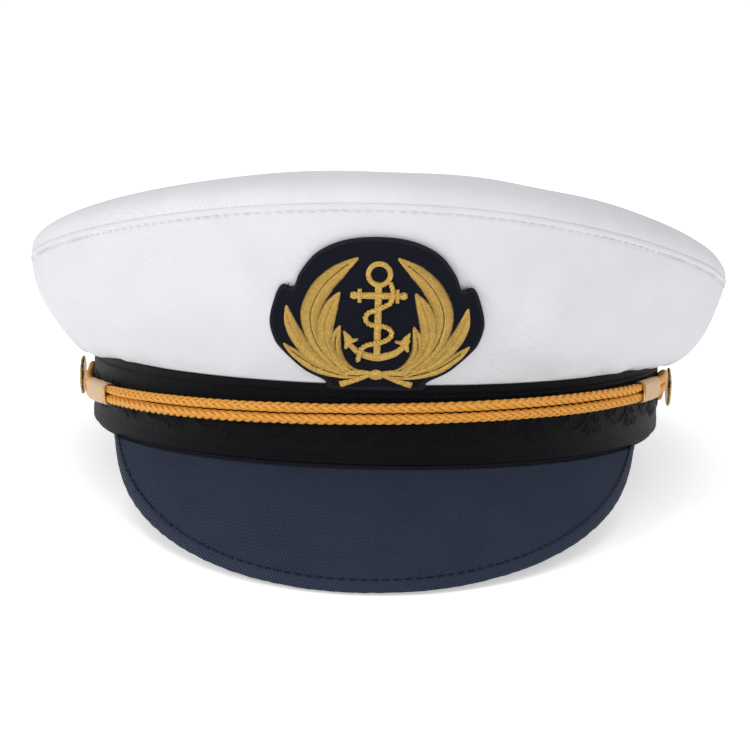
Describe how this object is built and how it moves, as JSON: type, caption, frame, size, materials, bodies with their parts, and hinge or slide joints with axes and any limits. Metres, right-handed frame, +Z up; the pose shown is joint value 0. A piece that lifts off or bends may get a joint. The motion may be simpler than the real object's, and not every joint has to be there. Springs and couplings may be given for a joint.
{
  "type": "peaked cap",
  "caption": "Captain's peaked cap: soft white crown, black braid band, navy visor, anchor-and-wreath badge, gold chin cord with sliding keepers and side buttons.",
  "frame": {"origin": "on the surface the cap stands on, under the middle of its bounding box", "axes": "+Z up, -Y towards the front (visor), +X to the picture's right, which is the wearer's left; the cap stands on its visor edge and the back of its band, so the head opening leans back 7.2 degrees"},
  "size_m": [0.2272, 0.2706, 0.112],
  "materials": {
    "crown_cloth": "white cotton twill, matt",
    "lining_cloth": "thin plain-weave cotton",
    "stay_plastic": "stiff translucent sheet",
    "band_braid": "black woven braid with a raised leaf pattern",
    "band_cloth": "black-blue twill",
    "band_board": "stiff pressed board",
    "sweat_leather": "brown artificial leather, fine grain",
    "visor_cloth": "navy twill",
    "visor_board": "pressed fibre",
    "visor_lining": "dark green-black artificial leather",
    "badge_felt": "navy-black felt",
    "gold_thread": "glossy golden-yellow embroidery thread",
    "gold_cord": "satin braided orange-gold cord",
    "keeper_cloth": "pale gold satin tape",
    "brass": "polished with brown patina in the recesses"
  },
  "bodies": {
    "cap": {"crown_top_panel": "crown_cloth", "crown_front_panel": "crown_cloth", "crown_back_panel": "crown_cloth", "crown_front_stay": "stay_plastic", "crown_lining_top": "lining_cloth", "crown_lining_side": "lining_cloth", "sweatband": "sweat_leather", "band_stiffener": "band_board", "band_cover": "band_cloth", "band_braid": "band_braid", "band_rim_tape": "band_cloth", "visor_top_cover": "visor_cloth", "visor_core": "visor_board", "visor_under_cover": "visor_lining", "visor_edge_binding": "visor_cloth", "badge_felt": "badge_felt", "badge_wreath_left": "gold_thread", "badge_wreath_right": "gold_thread", "badge_anchor": "gold_thread", "badge_rope": "gold_thread", "badge_knot": "gold_thread", "left_washer": "brass", "right_washer": "brass"},
    "chin_cord": {"chin_cord_upper": "gold_cord", "chin_cord_lower": "gold_cord", "left_chin_loop": "gold_cord", "right_chin_loop": "gold_cord"},
    "left_button": {"left_button": "brass", "left_shank": "brass"},
    "left_keeper": {"left_keeper_sleeve": "keeper_cloth", "left_keeper_liner": "brass"},
    "right_button": {"right_button": "brass", "right_shank": "brass"},
    "right_keeper": {"right_keeper_sleeve": "keeper_cloth", "right_keeper_liner": "brass"}
  },
  "joints": [
    {"name": "chin_cord_lift", "type": "hinge", "parent": "cap", "child": "chin_cord", "pos_m": [0, 0.00465, 0.02519], "axis": [-1, 0, 0], "range_deg": [-6.5, 2.2]},
    {"name": "left_button_spin", "type": "hinge", "parent": "cap", "child": "left_button", "pos_m": [-0.0964, 0.00465, 0.02519], "axis": [-1, 0, 0], "continuous": true},
    {"name": "left_keeper_slide", "type": "hinge", "parent": "chin_cord", "child": "left_keeper", "pos_m": [0.01999, 0.00502, 0.02799], "axis": [-0.0262, 0.1439, 0.9892], "range_deg": [-8.5, 9]},
    {"name": "right_button_spin", "type": "hinge", "parent": "cap", "child": "right_button", "pos_m": [0.0964, 0.00465, 0.02519], "axis": [1, 0, 0], "continuous": true},
    {"name": "right_keeper_slide", "type": "hinge", "parent": "chin_cord", "child": "right_keeper", "pos_m": [-0.01999, 0.00487, 0.02696], "axis": [0.0262, -0.1439, -0.9892], "range_deg": [-11.5, 8]}
  ]
}
